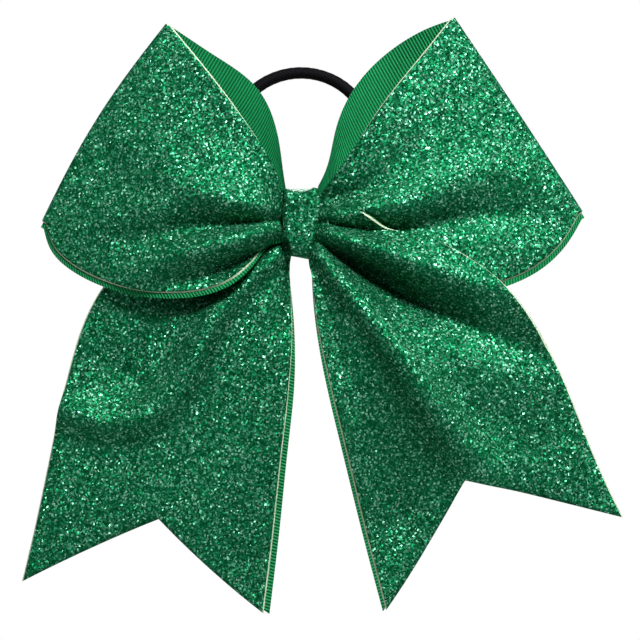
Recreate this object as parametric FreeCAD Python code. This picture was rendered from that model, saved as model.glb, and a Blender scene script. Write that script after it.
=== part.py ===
"""Cheer hair bow: glitter-faced grosgrain ribbon, folded into two loops and two tails, with a hair elastic.

Frame: millimetres, +Z up as worn, the front of the bow faces -Y, +X to the viewer's right.
The origin is the centre of the flat rear face of the knot's wrap.

The bow is one long strip. From back to front its passes through the knot are:
back pass (both loops' back layers), middle pass (left tail to right loop),
front pass (left loop to right tail).
"""
import FreeCAD, Part
import math
import os

Vector = FreeCAD.Vector

# ---- driving dimensions --------------------------------------------------------------------------
ribbon_width = 75.5          # 3-inch grosgrain
ribbon_thickness = 0.4
glitter_thickness = 0.6
lip_width = 2.2              # bare ribbon beside the glitter, on the lower edge of the loops
crease_radius = 1.0          # inside of the fold at the end of each loop
crease_depth = -8.6          # Y of the folds' centre lines

left_loop_length = 67.0      # knot centre to the middle of the crease
left_loop_lean = 26.0        # degrees above level
left_crease_tilt = 32.0      # degrees from upright
left_loop_bulge = 10.5       # how far the front layer stands out between knot and crease
right_loop_length = 74.3
right_loop_lean = 25.4
right_crease_tilt = 33.4
right_loop_bulge = 7.5
back_layer_bulge = 1.6       # how far both loops' back layers belly out behind

left_tail_length = 127.5     # knot centre to the middle of the cut end
left_tail_lean = 22.3        # degrees from straight down
left_tail_slant = 7.7        # degrees between the cut end's tips and level
left_tail_end = 78.0         # between the two tips of the cut end
left_tail_shoulder = 0.8     # how far the strip steps forward as it leaves the knot
left_tail_hang = 2.0         # how far the lower part hangs in front of its pass
right_tail_length = 124.6
right_tail_lean = 30.5
right_tail_slant = 21.5
right_tail_end = 80.5
right_tail_shoulder = 7.5    # enough to clear the right loop behind it
right_tail_hang = 1.0
shoulder_step = 0.03         # share of a tail's length over which it steps forward
shoulder_end = 0.4           # share at which the shoulder starts to settle back, over as much again
hang_end = 0.6               # share at which the tail hangs at its full depth
tail_sway = 1.6              # height of the tails' slow wave
notch_depth = 24.0

pinch_height = 17.6          # the gathered strip, inside the wrap
pinch_middle = -0.8          # Z of the pinch's middle
pass_pitch = 2.6             # from one pass through the knot to the next, along Y
pleat_count = 3
pleat_depth = 0.8            # half of the wave's height at the knot
pleat_swell = 1.5            # how much deeper the pleats get just outside the knot
pleat_reach = 26.0           # distance from the knot over which the pleats fade
pleat_onset = 6.0            # distance over which they deepen
pleat_start = 0.28           # share of the width at the first crest

wrap_width = 11.2
wrap_corner = 2.5            # inside corner radius
wrap_inner_end = 4.75        # the strip's hidden end, above the pinch's middle
wrap_outer_end = 5.3         # its glued end, below the pinch's middle
thread_diameter = 0.6
thread_turns = 3
thread_bend = 1.0            # radius of the thread's corners
glue_width = 7.0
glue_height = 2.6
glue_corner = 0.8

elastic_diameter = 3.8
elastic_core_diameter = 2.4
elastic_loop_diameter = 44.6  # round upper part, between the centre lines
elastic_reach = 51.0         # from the straight stretch to the top of the loop
elastic_straight = 14.0      # length of the stretch under the wrap
elastic_bend = 8.0           # radius where the elastic leaves its straight stretch
elastic_tilt = 12.0          # degrees back from upright
elastic_drop = 0.4           # straight stretch below the pinch's middle

clearance = 0.3              # between pieces that move past each other
seat_gap = 0.2               # loose gaps inside the knot
hinge_drop = 29.0            # tail hinge below the origin
hinge_slot = 3.2             # gap in the strip at the tail hinge

# ---- sizes that follow ---------------------------------------------------------------------------
layer = ribbon_thickness + glitter_thickness
lip_share = lip_width / ribbon_width
wrap_rear_inner = -2.0 * layer
elastic_y = wrap_rear_inner - clearance - elastic_diameter / 2.0
elastic_z = pinch_middle - elastic_drop
thread_rear = elastic_y - elastic_diameter / 2.0 - clearance
back_pass_y = thread_rear - thread_diameter - pleat_depth - layer
middle_pass_y = back_pass_y - pass_pitch
front_pass_y = middle_pass_y - pass_pitch
stack_front = front_pass_y - layer - pleat_depth
wrap_front_inner = stack_front - thread_diameter - seat_gap
pinch_top = pinch_middle + pinch_height / 2.0
pinch_bottom = pinch_middle - pinch_height / 2.0
wrap_top_inner = pinch_top + thread_diameter + seat_gap
wrap_bottom_inner = pinch_bottom - thread_diameter - seat_gap
wing_start = wrap_width / 2.0 + 1.5 * clearance

GRID_ALONG = 15
GRID_ACROSS = 11
FAR = 200.0                  # past every piece, for cutting shapes


# ---- curves and depths ---------------------------------------------------------------------------
def mix(a, b, share):
    return a + (b - a) * share


def ease(share):
    """0 to 1 with level ends."""
    return share * share * (3.0 - 2.0 * share)


def bowed_edge(start, end, outward, bows):
    """Curve in XZ from start to end. bows are (share of the chord, distance outward as a share of the width)."""
    chord = end - start
    normal = Vector(-chord.z, 0, chord.x).normalize()
    if normal.dot(outward) < 0:
        normal = -normal
    points = [start]
    for share, distance in bows:
        points.append(start + chord * share + normal * (distance * ribbon_width))
    points.append(end)
    curve = Part.BSplineCurve()
    curve.interpolate(points)
    return curve


def along(curve, share):
    """Point at a share of the curve's length."""
    distance = max(0.0, min(1.0, share)) * curve.length()
    return curve.value(curve.parameterAtDistance(distance, curve.FirstParameter))


def pleats(share_across, distance):
    """Depth of the gathers: deepest just outside the knot, fading away from it."""
    swell = 1.0 + pleat_swell * (1.0 - math.exp(-distance / pleat_onset))
    fade = math.exp(-(distance / pleat_reach) ** 1.6)
    wave = math.cos(2.0 * math.pi * pleat_count * (share_across - pleat_start))
    return -pleat_depth * swell * fade * wave


class Layer:
    """One stretch of the strip, ruled between a top (or outer) edge and a bottom (or inner) edge."""

    def __init__(self, first_edge, second_edge, depth):
        self.first_edge = first_edge
        self.second_edge = second_edge
        self.depth = depth

    def point(self, s, t):
        a = along(self.first_edge, s)
        b = along(self.second_edge, s)
        place = a + (b - a) * t
        distance = abs(abs(place.x) - wing_start) + 0.3 * max(0.0, pinch_bottom - place.z)
        place.y = self.depth(s, t, distance)
        return place

    def face(self, t_end):
        """Smooth face through a grid of points, cut off along the strip at t_end."""
        rows = []
        for i in range(GRID_ALONG):
            s = i / (GRID_ALONG - 1.0)
            rows.append([self.point(s, j / (GRID_ACROSS - 1.0)) for j in range(GRID_ACROSS)])
        surface = Part.BSplineSurface()
        surface.interpolate(rows)
        u0, u1, v0, v1 = surface.bounds()
        surface.segment(u0, u1, v0, mix(v0, v1, t_end))
        return surface.toShape()

    def slab(self, side, low, high, t_end=1.0):
        """Closed solid between two heights in front of (side -1) or behind (side 1) the layer's inner face."""
        inner = self.face(t_end)
        inner.translate(Vector(0, side * low, 0))
        return inner.extrude(Vector(0, side * (high - low), 0))


# ---- loops ---------------------------------------------------------------------------------------
def crease_points(side, length, lean, tilt):
    """Top and bottom of the crease line."""
    lean_angle = math.radians(lean)
    tilt_angle = math.radians(tilt)
    middle = Vector(side * length * math.cos(lean_angle), 0, length * math.sin(lean_angle))
    half = Vector(-side * math.sin(tilt_angle), 0, math.cos(tilt_angle)) * (ribbon_width / 2.0)
    return middle + half, middle - half


def loop_layers(side, length, lean, tilt, front_pass, bulge, bows):
    """Front and back layers of one loop. bows holds the four edges' shapes."""
    top, bottom = crease_points(side, length, lean, tilt)
    knot_top = Vector(side * wing_start, 0, pinch_top)
    knot_bottom = Vector(side * wing_start, 0, pinch_bottom)
    up = Vector(0, 0, 1)

    def front_depth(s, t, distance):
        base = mix(front_pass, crease_depth - crease_radius, ease(s))
        swell = math.sin(math.pi * s ** 0.8) * (1.0 - 0.3 * (2.0 * t - 1.0) ** 2)
        return base - bulge * swell + pleats(t, distance) * (1.0 - s ** 3)

    def back_depth(s, t, distance):
        base = mix(back_pass_y, crease_depth + crease_radius, ease(s))
        swell = math.sin(math.pi * s) ** 2
        return base + back_layer_bulge * swell + pleats(t, distance * 1.6) * (1.0 - s ** 3)

    front = Layer(bowed_edge(knot_top, top, up, bows["front_top"]),
                  bowed_edge(knot_bottom, bottom, -up, bows["front_bottom"]), front_depth)
    back = Layer(bowed_edge(knot_top, top, up, bows["back_top"]),
                 bowed_edge(knot_bottom, bottom, -up, bows["back_bottom"]), back_depth)
    return front, back, top, bottom


def fold(side, top, bottom, low, high, t_end=1.0):
    """Half tube along the crease, between two heights above the inner face."""
    line = (bottom - top) * t_end
    away = Vector(-line.z, 0, line.x).normalize()
    if away.x * side < 0:
        away = -away
    centre = Vector(top.x, crease_depth, top.z)
    back = Vector(0, 1, 0)
    inner = crease_radius + low
    outer = crease_radius + high
    near = Part.Arc(centre - back * inner, centre + away * inner, centre + back * inner).toShape()
    far = Part.Arc(centre - back * outer, centre + away * outer, centre + back * outer).toShape()
    first = Part.makeLine(centre - back * inner, centre - back * outer)
    second = Part.makeLine(centre + back * inner, centre + back * outer)
    section = Part.Face(Part.Wire(Part.__sortEdges__([near, second, far, first])))
    return section.extrude(line)


def loop_solid(side, loop, low, high, t_end=1.0):
    front, back, top, bottom = loop
    front_slab = front.slab(-1, low, high, t_end)
    back_slab = back.slab(1, low, high, t_end)
    return front_slab.fuse([fold(side, top, bottom, low, high, t_end), back_slab])


left_loop_edges = {
    "front_top": [(0.12, 0.03), (0.30, 0.042), (0.65, 0.030)],
    "front_bottom": [(0.10, 0.066), (0.20, 0.170), (0.40, 0.229), (0.60, 0.233), (0.85, 0.162), (0.96, 0.070)],
    "back_top": [(0.07, 0.037), (0.24, 0.118), (0.50, 0.171), (0.76, 0.102)],
    "back_bottom": [(0.15, 0.10), (0.40, 0.20), (0.70, 0.19), (0.93, 0.09)],
}
right_loop_edges = {
    "front_top": [(0.10, -0.004), (0.50, 0.014), (0.78, 0.006)],
    "front_bottom": [(0.10, 0.066), (0.20, 0.170), (0.40, 0.245), (0.60, 0.255), (0.80, 0.208), (0.94, 0.100)],
    "back_top": [(0.11, 0.040), (0.30, 0.115), (0.52, 0.154), (0.72, 0.130), (0.93, 0.045)],
    "back_bottom": [(0.15, 0.10), (0.40, 0.21), (0.70, 0.20), (0.93, 0.09)],
}
left_loop = loop_layers(-1, left_loop_length, left_loop_lean, left_crease_tilt,
                        front_pass_y, left_loop_bulge, left_loop_edges)
right_loop = loop_layers(1, right_loop_length, right_loop_lean, right_crease_tilt,
                         middle_pass_y, right_loop_bulge, right_loop_edges)


# ---- tails ---------------------------------------------------------------------------------------
def tail_end(side, length, lean, slant, width):
    """Outer tip, notch and inner tip of the cut end."""
    lean_angle = math.radians(lean)
    slant_angle = math.radians(slant)
    middle = Vector(side * length * math.sin(lean_angle), 0, -length * math.cos(lean_angle))
    half = Vector(side * math.cos(slant_angle), 0, math.sin(slant_angle)) * (width / 2.0)
    inward = Vector(-side * math.sin(slant_angle), 0, math.cos(slant_angle))
    return middle + half, middle + inward * notch_depth, middle - half


def tail_layer(side, end, pass_y, shoulder, hang, outer_bows, inner_bows):
    """One tail from the knot to its cut end. shoulder and hang are depths in front of the pass."""
    outer_tip, notch, inner_tip = end
    knot_top = Vector(side * wing_start, 0, pinch_top)
    knot_bottom = Vector(side * wing_start, 0, pinch_bottom)

    def depth(s, t, distance):
        stepped = 1.0 - math.exp(-s / shoulder_step)
        settled = ease(max(0.0, min(1.0, s / shoulder_end - 1.0)))
        rise = shoulder * stepped * (1.0 - settled)
        settle = hang * ease(min(1.0, s / hang_end))
        sway = tail_sway * s * math.sin(2.0 * math.pi * (0.8 * t + 0.55 * s + 0.1))
        return pass_y - rise - settle + sway + pleats(t, distance) * math.exp(-(s / 0.5) ** 2)

    return Layer(bowed_edge(knot_top, outer_tip, Vector(side, 0, 0), outer_bows),
                 bowed_edge(knot_bottom, inner_tip, Vector(-side, 0, 0), inner_bows), depth)


left_end = tail_end(-1, left_tail_length, left_tail_lean, left_tail_slant, left_tail_end)
left_strip = tail_layer(-1, left_end, middle_pass_y, left_tail_shoulder, left_tail_hang,
                        [(0.09, 0.095), (0.22, 0.290), (0.38, 0.400), (0.57, 0.325), (0.73, 0.205), (0.89, 0.080)],
                        [(0.03, 0.000), (0.09, 0.030), (0.20, 0.060), (0.35, 0.077), (0.52, 0.053), (0.76, 0.020)])
right_end = tail_end(1, right_tail_length, right_tail_lean, right_tail_slant, right_tail_end)
right_strip = tail_layer(1, right_end, front_pass_y, right_tail_shoulder, right_tail_hang,
                         [(0.11, 0.075), (0.25, 0.215), (0.44, 0.295), (0.58, 0.265), (0.74, 0.165), (0.93, 0.040)],
                         [(0.03, 0.000), (0.08, 0.028), (0.15, 0.056), (0.33, 0.046), (0.56, 0.028), (0.80, 0.007)])


def notch_cutter(end):
    """Wedge that cuts the V into a tail's end, reaching down past the cut edge."""
    outer_tip, notch, inner_tip = end
    in_front = Vector(0, -FAR, 0)
    down = Vector(0, 0, -notch_depth)
    corners = [outer_tip, notch, inner_tip, inner_tip + down, outer_tip + down, outer_tip]
    wire = Part.makePolygon([corner + in_front for corner in corners])
    return Part.Face(wire).extrude(Vector(0, 2.0 * FAR, 0))


def keep_between(low, high):
    """Wide box that keeps what lies between two heights."""
    return Part.makeBox(2.0 * FAR, 2.0 * FAR, high - low, Vector(-FAR, -FAR, low))


def tail_pair(strip, end, low, high, t_end=1.0):
    """The tail's shoulder above the hinge slot, and its hanging part with the notch."""
    slab = strip.slab(-1, low, high, t_end)
    shoulder = slab.common(keep_between(-hinge_drop + hinge_slot / 2.0, FAR))
    hanging = slab.common(keep_between(-FAR, -hinge_drop - hinge_slot / 2.0)).cut(notch_cutter(end))
    return shoulder, hanging


# ---- knot ----------------------------------------------------------------------------------------
def pass_sheet(pass_y, side, low, high, t_end=1.0):
    """Gathered strip inside the wrap: a wavy section drawn out along X, filling the wrap's width."""
    points = []
    for j in range(2 * GRID_ACROSS):
        t = j / (2.0 * GRID_ACROSS - 1.0)
        place = Vector(-wrap_width / 2.0, pass_y + pleats(t, 0.0) + side * low, mix(pinch_top, pinch_bottom, t))
        points.append(place)
    curve = Part.BSplineCurve()
    curve.interpolate(points)
    curve.segment(curve.FirstParameter, mix(curve.FirstParameter, curve.LastParameter, t_end))
    sheet = curve.toShape().extrude(Vector(wrap_width, 0, 0))
    return sheet.extrude(Vector(0, side * (high - low), 0))


def wrap_path(offset):
    """The wrap's strip seen along X, as edges at an offset outside its inner face.

    It starts at the rear, goes down, under, up the front and over the top, where it climbs one layer,
    and ends on top of its own start.
    """
    radius = wrap_corner + offset
    rear_low = Vector(0, wrap_rear_inner - wrap_corner, wrap_bottom_inner + wrap_corner)
    front_low = Vector(0, wrap_front_inner + wrap_corner, wrap_bottom_inner + wrap_corner)
    front_high = Vector(0, wrap_front_inner + wrap_corner, wrap_top_inner - wrap_corner)
    rear_high = Vector(0, rear_low.y + layer, front_high.z + layer)
    climb = rear_high - front_high
    over = Vector(0, -climb.z, climb.y).normalize()
    front = Vector(0, -1, 0)
    back = Vector(0, 1, 0)
    down = Vector(0, 0, -1)
    up = Vector(0, 0, 1)
    start = Vector(0, wrap_rear_inner + offset, pinch_middle + wrap_inner_end)
    finish = Vector(0, wrap_rear_inner + layer + offset, pinch_middle - wrap_outer_end)

    def corner(centre, first, second):
        middle = (first + second).normalize()
        return Part.Arc(centre + first * radius, centre + middle * radius, centre + second * radius).toShape()

    return start, finish, [
        Part.makeLine(start, rear_low + back * radius),
        corner(rear_low, back, down),
        Part.makeLine(rear_low + down * radius, front_low + down * radius),
        corner(front_low, down, front),
        Part.makeLine(front_low + front * radius, front_high + front * radius),
        corner(front_high, front, over),
        Part.makeLine(front_high + over * radius, rear_high + over * radius),
        corner(rear_high, over, back),
        Part.makeLine(rear_high + back * radius, finish),
    ]


def wrap_layer(low, high):
    start_in, finish_in, inner = wrap_path(low)
    start_out, finish_out, outer = wrap_path(high)
    caps = [Part.makeLine(start_in, start_out), Part.makeLine(finish_in, finish_out)]
    face = Part.Face(Part.Wire(Part.__sortEdges__(inner + outer + caps)))
    solid = face.extrude(Vector(wrap_width, 0, 0))
    solid.translate(Vector(-wrap_width / 2.0, 0, 0))
    return solid


def rounded_ring(rear, front, bottom, top, x):
    """Closed rounded rectangle in the YZ plane."""
    radius = thread_bend
    corners = [Vector(x, rear, bottom), Vector(x, front, bottom), Vector(x, front, top), Vector(x, rear, top)]
    edges = []
    for i in range(4):
        here = corners[i]
        before = (corners[i - 1] - here).normalize()
        after = (corners[(i + 1) % 4] - here).normalize()
        centre = here + (before + after) * radius
        middle = centre - (before + after).normalize() * radius
        edges.append(Part.Arc(here + before * radius, middle, here + after * radius).toShape())
        following = corners[(i + 1) % 4]
        edges.append(Part.makeLine(here + after * radius, following - after * radius))
    return Part.Wire(edges)


def pinch_thread():
    """Turns of thread side by side around the gathered strip."""
    half = thread_diameter / 2.0
    turns = []
    for i in range(thread_turns):
        x = (i - (thread_turns - 1) / 2.0) * thread_diameter * 0.9
        path = rounded_ring(thread_rear - half, stack_front - half, pinch_bottom - half, pinch_top + half, x)
        start = path.Edges[1].valueAt(path.Edges[1].FirstParameter)
        tangent = path.Edges[1].tangentAt(path.Edges[1].FirstParameter)
        circle = Part.Wire(Part.makeCircle(half, start, tangent))
        turns.append(path.makePipeShell([circle], True, True))
    return turns[0].fuse(turns[1:])


def glue_dab():
    """Hot glue above the elastic, between the thread and the wrap's inner end."""
    bottom = elastic_z + elastic_diameter / 2.0 + clearance
    corner = Vector(-glue_width / 2.0, thread_rear, bottom)
    dab = Part.makeBox(glue_width, wrap_rear_inner - thread_rear, glue_height, corner)
    return dab.makeFillet(glue_corner, [edge for edge in dab.Edges if abs(edge.tangentAt(0).y) > 0.9])


# ---- elastic -------------------------------------------------------------------------------------
def elastic_path():
    """Closed route in its own plane, then tilted: straight stretch, two bends, two sides and a round top."""
    big = elastic_loop_diameter / 2.0
    small = elastic_bend
    centre = Vector(0, 0, elastic_reach - big)
    top = centre + Vector(0, 0, big)
    down = Vector(0, 0, -1)

    def side_points(side):
        """Where the bend starts, its middle and its end, and where the round top starts."""
        bend_centre = Vector(side * elastic_straight / 2.0, 0, small)
        gap = centre - bend_centre
        turn = math.asin((big - small) / gap.Length) - math.atan2(abs(gap.x), gap.z)
        outwards = Vector(side * math.cos(turn), 0, -math.sin(turn))
        middle = (down + outwards).normalize()
        return (bend_centre + down * small, bend_centre + middle * small, bend_centre + outwards * small,
                centre + outwards * big)

    right = side_points(1)
    left = side_points(-1)
    wire = Part.Wire([
        Part.makeLine(left[0], right[0]),
        Part.Arc(right[0], right[1], right[2]).toShape(),
        Part.makeLine(right[2], right[3]),
        Part.Arc(right[3], top, left[3]).toShape(),
        Part.makeLine(left[3], left[2]),
        Part.Arc(left[2], left[1], left[0]).toShape(),
    ])
    wire.rotate(Vector(0, 0, 0), Vector(-1, 0, 0), elastic_tilt)
    wire.translate(Vector(0, elastic_y, elastic_z))
    return wire


def elastic_tube(diameter):
    path = elastic_path()
    start = path.Edges[0].valueAt(path.Edges[0].FirstParameter)
    circle = Part.Wire(Part.makeCircle(diameter / 2.0, start, Vector(1, 0, 0)))
    return path.makePipeShell([circle], True, True)


# ---- nodes ---------------------------------------------------------------------------------------
glitter_end = 1.0 - lip_share
nodes = {}

for name, pass_y, side in (("back", back_pass_y, 1), ("middle", middle_pass_y, -1), ("front", front_pass_y, -1)):
    nodes[name + "_pass_ribbon"] = pass_sheet(pass_y, side, 0.0, ribbon_thickness)
    nodes[name + "_pass_glitter"] = pass_sheet(pass_y, side, ribbon_thickness, layer, glitter_end)

nodes["pinch_thread"] = pinch_thread()
nodes["wrap_ribbon"] = wrap_layer(0.0, ribbon_thickness)
nodes["wrap_glitter"] = wrap_layer(ribbon_thickness, layer)
nodes["glue_dab"] = glue_dab()

elastic_core = elastic_tube(elastic_core_diameter)
nodes["elastic_core"] = elastic_core
nodes["elastic_cover"] = elastic_tube(elastic_diameter).cut(elastic_core)

for name, side, loop, strip, end in (("left", -1, left_loop, left_strip, left_end),
                                     ("right", 1, right_loop, right_strip, right_end)):
    nodes[name + "_loop_ribbon"] = loop_solid(side, loop, 0.0, ribbon_thickness)
    nodes[name + "_loop_glitter"] = loop_solid(side, loop, ribbon_thickness, layer, glitter_end)
    shoulder, hanging = tail_pair(strip, end, 0.0, ribbon_thickness)
    nodes[name + "_shoulder_ribbon"] = shoulder
    nodes[name + "_tail_ribbon"] = hanging
    shoulder, hanging = tail_pair(strip, end, ribbon_thickness, layer, glitter_end)
    nodes[name + "_shoulder_glitter"] = shoulder
    nodes[name + "_tail_glitter"] = hanging

os.makedirs("parts", exist_ok=True)
for node, shape in nodes.items():
    solids = shape.Solids
    box = shape.BoundBox
    print("%-24s solids %d valid %s volume %9.1f  x %6.1f %6.1f  y %6.1f %6.1f  z %6.1f %6.1f" % (
        node, len(solids), shape.isValid(), shape.Volume,
        box.XMin, box.XMax, box.YMin, box.YMax, box.ZMin, box.ZMax))
    solids[0].exportStep(os.path.join("parts", node + ".step"))
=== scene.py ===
"""Looks of the cheer hair bow: glitter-faced ribbon, wrapped knot and hair elastic.

Metres, in the frame of the CAD model: +Z up, the front faces -Y, the origin is at the rear of the knot.
Depths and outlines are worked out in millimetres, as the bow is designed, and turned into metres at the end.
"""
import bmesh
import bpy
import math
import numpy as np
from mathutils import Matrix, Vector

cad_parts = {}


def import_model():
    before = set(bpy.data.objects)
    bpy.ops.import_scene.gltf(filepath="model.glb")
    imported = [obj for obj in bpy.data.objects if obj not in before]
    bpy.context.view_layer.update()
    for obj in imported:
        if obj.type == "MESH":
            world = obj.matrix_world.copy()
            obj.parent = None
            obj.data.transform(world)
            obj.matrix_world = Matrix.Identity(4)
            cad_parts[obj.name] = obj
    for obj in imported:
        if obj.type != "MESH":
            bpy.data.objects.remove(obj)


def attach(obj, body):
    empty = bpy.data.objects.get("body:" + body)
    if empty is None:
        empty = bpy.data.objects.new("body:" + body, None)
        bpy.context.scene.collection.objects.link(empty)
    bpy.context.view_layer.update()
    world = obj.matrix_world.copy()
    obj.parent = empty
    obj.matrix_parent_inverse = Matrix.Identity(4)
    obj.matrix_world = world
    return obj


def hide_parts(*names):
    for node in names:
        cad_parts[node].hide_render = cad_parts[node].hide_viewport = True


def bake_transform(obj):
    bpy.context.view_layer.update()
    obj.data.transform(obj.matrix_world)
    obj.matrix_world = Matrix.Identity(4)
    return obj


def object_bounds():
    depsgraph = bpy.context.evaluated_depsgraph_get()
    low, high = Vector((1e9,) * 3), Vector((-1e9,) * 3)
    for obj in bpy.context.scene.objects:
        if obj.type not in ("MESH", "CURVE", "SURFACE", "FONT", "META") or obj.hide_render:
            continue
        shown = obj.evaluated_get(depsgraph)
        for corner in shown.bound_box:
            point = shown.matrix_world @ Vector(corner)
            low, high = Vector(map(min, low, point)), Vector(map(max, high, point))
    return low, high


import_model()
cad_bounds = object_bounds()

MM = 0.001

# ---- sizes of the bow, in millimetres ------------------------------------------------------------
RIBBON_WIDTH = 75.5
RIBBON_THICKNESS = 0.4
GLITTER_THICKNESS = 0.6
LAYER = RIBBON_THICKNESS + GLITTER_THICKNESS
BOND = 0.01                  # gap that keeps the glitter fabric's back off the ribbon
EDGE_SLOPE = 0.4             # how far the glitter's face ends inside its back, so its cut edge slopes
LOOP_LIP = 1.7               # bare ribbon beside the glitter at the lower edge
LEFT_TAIL_LIP = 1.8
RIGHT_TAIL_LIP = 1.0

CREASE_RADIUS = 1.0          # inside of the fold at the end of each loop
CREASE_DEPTH = -8.6          # Y of its centre line
PINCH_TOP = 8.0
PINCH_BOTTOM = -9.6
PINCH_MIDDLE = (PINCH_TOP + PINCH_BOTTOM) / 2.0
BACK_PASS = -8.8             # Y of the three passes through the knot
MIDDLE_PASS = -11.4
FRONT_PASS = -14.0
WING_START = 6.05            # where the loops and tails leave the wrap
LOOP_ROOT = 4.2              # |X| of the loops' first row, inside the wrap
TAIL_ROOT = 2.2

FOLD_HEIGHT = 1.3            # scales all the folds
BACK_FOLDS = 0.35            # share of the folds that reaches the back layers
FOLD_START = 0.4             # share of a fold's height at the knot
FOLD_REACH = 6.0             # how far from the pinch's middle they begin to grow, and how fast
BACK_BELLY = 1.6             # how far the back layers hang back, and how much more near the crease
BACK_BELLY_END = 3.4
TAIL_SWAY = 1.6
OUTLINE_POINTS = 400

LOOP_ROWS = 80
TAIL_ROWS = 120
ROOT_ROWS = 5                # rows inside the wrap, before WING_START
PASS_ROWS = 12
COLUMNS = 65


# ---- curves --------------------------------------------------------------------------------------
def mix(a, b, share):
    return a + (b - a) * share


def ease(share):
    share = np.clip(share, 0.0, 1.0)
    return share * share * (3.0 - 2.0 * share)


def smooth_curve(points, count):
    """Evenly spaced points on a smooth curve through the given ones."""
    points = np.array(points, float)
    gaps = np.linalg.norm(np.diff(points, axis=0), axis=1)
    knots = np.concatenate([[0.0], np.cumsum(gaps)])
    size = len(points)
    system = np.zeros((size, size))
    right = np.zeros_like(points)
    system[0, 0] = system[-1, -1] = 1.0
    for i in range(1, size - 1):
        system[i, i - 1] = gaps[i - 1]
        system[i, i] = 2.0 * (gaps[i - 1] + gaps[i])
        system[i, i + 1] = gaps[i]
        right[i] = 6.0 * ((points[i + 1] - points[i]) / gaps[i] - (points[i] - points[i - 1]) / gaps[i - 1])
    bend = np.linalg.solve(system, right)
    fine = np.linspace(0.0, knots[-1], 600)
    place = np.clip(np.searchsorted(knots, fine, side="right") - 1, 0, size - 2)
    h = gaps[place][:, None]
    a = (knots[place + 1] - fine)[:, None]
    b = (fine - knots[place])[:, None]
    m0 = bend[place]
    m1 = bend[place + 1]
    p0 = points[place]
    p1 = points[place + 1]
    line = m0 * a ** 3 / (6 * h) + m1 * b ** 3 / (6 * h)
    line += (p0 / h - m0 * h / 6) * a + (p1 / h - m1 * h / 6) * b
    lengths = np.concatenate([[0.0], np.cumsum(np.linalg.norm(np.diff(line, axis=0), axis=1))])
    wanted = np.linspace(0.0, lengths[-1], count)
    return np.stack([np.interp(wanted, lengths, line[:, k]) for k in range(line.shape[1])], axis=1)


def bowed_edge(start, end, outward, bows):
    """Outline in XZ. bows are (share of the chord, distance outward as a share of the ribbon's width)."""
    start = np.array(start, float)
    end = np.array(end, float)
    chord = end - start
    normal = np.array([-chord[1], chord[0]]) / np.linalg.norm(chord)
    if normal @ np.array(outward, float) < 0:
        normal = -normal
    middle = [start + chord * share + normal * distance * RIBBON_WIDTH for share, distance in bows]
    return smooth_curve([start] + middle + [end], OUTLINE_POINTS)


def at(edge, share):
    """Points of an outline at an array of shares of its length."""
    place = np.clip(share, 0.0, 1.0) * (len(edge) - 1)
    index = np.arange(len(edge))
    return np.stack([np.interp(place, index, edge[:, 0]), np.interp(place, index, edge[:, 1])], axis=-1)


# ---- gathers and depths --------------------------------------------------------------------------
# Folds, as lines of (x, z, height, half width). Positive heights stand forward, negative ones are hollows.
LEFT_FOLDS = [
    [(-8.0, 8.0, -0.6, 2.6), (-17.0, 19.0, -0.8, 5.0), (-30.0, 34.0, -1.0, 7.0), (-40.0, 44.0, -0.6, 7.0)],
    [(-8.0, 3.4, 1.4, 2.4), (-22.0, 6.0, 1.7, 4.0), (-42.0, 14.0, 1.4, 6.0), (-58.0, 27.0, 1.2, 7.0)],
    [(-50.0, 19.0, -0.8, 6.0), (-62.0, 15.0, -1.6, 6.5), (-70.0, 12.0, -0.8, 6.0)],
    [(-40.0, 3.0, 0.8, 5.0), (-56.0, 1.0, 1.5, 6.0), (-76.0, -1.5, 1.0, 6.0)],
    [(-7.0, -0.2, -2.8, 2.2), (-20.0, -0.6, -3.4, 3.4), (-34.0, -2.2, -3.0, 4.6), (-54.0, -5.5, -1.4, 5.5)],
    [(-7.5, -2.6, 2.0, 1.9), (-20.0, -6.4, 3.0, 3.2), (-36.0, -11.6, 2.8, 4.4), (-60.0, -20.0, 1.8, 6.0)],
    [(-7.5, -5.8, -2.2, 2.0), (-17.0, -11.0, -3.6, 3.2), (-30.0, -16.0, -3.0, 4.2),
     (-43.0, -19.0, -1.6, 4.5)],
    [(-8.0, -11.0, 2.0, 2.4), (-19.0, -21.0, 3.0, 3.4), (-29.5, -34.5, 3.6, 4.0), (-36.0, -48.0, 3.8, 4.6),
     (-45.0, -59.0, 3.8, 4.8), (-57.0, -63.0, 3.8, 4.8), (-72.0, -60.0, 3.4, 5.0)],
    [(-48.0, -36.0, -1.8, 9.0), (-56.0, -46.0, -2.4, 9.0)],
    [(-3.6, -12.0, -1.6, 2.0), (-3.4, -22.0, -2.2, 2.8), (-3.0, -38.0, -0.6, 3.0)],
]
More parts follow.
